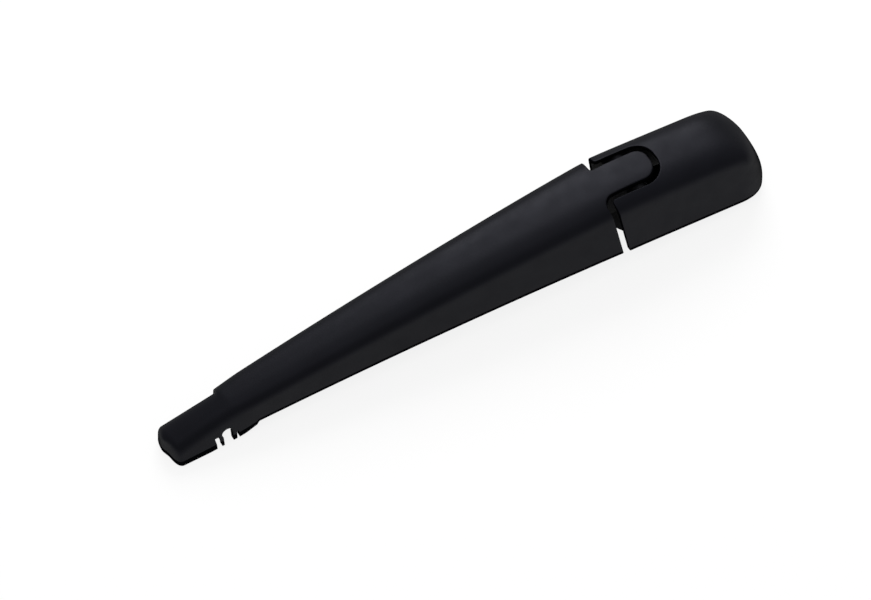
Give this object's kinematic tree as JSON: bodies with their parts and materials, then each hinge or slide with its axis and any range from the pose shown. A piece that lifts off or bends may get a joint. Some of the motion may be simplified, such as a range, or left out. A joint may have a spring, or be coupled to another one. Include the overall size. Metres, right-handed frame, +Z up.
{
  "type": "rear wiper arm",
  "caption": "Tapered moulded wiper arm with a hinged head cap, cast mounting head, tension spring and a snap-in clip for the blade pin",
  "frame": {"origin": "On the axis of the drive spindle, at the bottom face of the boss", "axes": "+Z up along the spindle, -X toward the blade tip, +X toward the head's rear end, Y across the arm"},
  "size_m": [0.2648, 0.033, 0.0382],
  "materials": {
    "arm_plastic": "satin, fine moulded grain",
    "cap_plastic": "satin, fine moulded grain",
    "cast_head": "black coated casting",
    "pin_steel": "zinc plated",
    "bush": "plain moulded",
    "link_steel": "zinc plated, dull",
    "spring_steel": "plated spring wire"
  },
  "bodies": {
    "head": {"mounting_head": "cast_head", "hinge_pin": "pin_steel", "spacer_left": "bush", "spacer_right": "bush", "head_spring_pin": "pin_steel"},
    "arm": {"arm_shell": "arm_plastic", "hinge_bush_left": "bush", "hinge_bush_right": "bush", "anchor_pin": "pin_steel"},
    "link": {"spring_link": "link_steel"},
    "spring": {"tension_spring": "spring_steel"},
    "cap": {"head_cap": "cap_plastic"}
  },
  "joints": [
    {"name": "arm_lift", "type": "hinge", "parent": "head", "child": "arm", "pos_m": [-0.04, 0, 0.0319], "axis": [0, 1, 0], "range_deg": [0, 50], "stiffness_Nm_per_rad": 0.4, "springref_deg": -143.24},
    {"name": "cap_hinge", "type": "hinge", "parent": "head", "child": "cap", "pos_m": [-0.04, 0, 0.0319], "axis": [0, -1, 0], "range_deg": [0, 60]},
    {"name": "link_swing", "type": "hinge", "parent": "head", "child": "link", "pos_m": [-0.049, 0, 0.023], "axis": [0, 1, 0], "range_deg": [0, 53]},
    {"name": "spring_stretch", "type": "slide", "parent": "link", "child": "spring", "axis": [-1, 0, 0], "range_m": [0, 0.0105], "deforming": ["tension_spring"]}
  ],
  "couplings": [
    {"joint": "link_swing", "follows": "arm_lift", "ratio": 1.056},
    {"joint": "spring_stretch", "follows": "arm_lift", "m_per_rad": 0.01169}
  ]
}
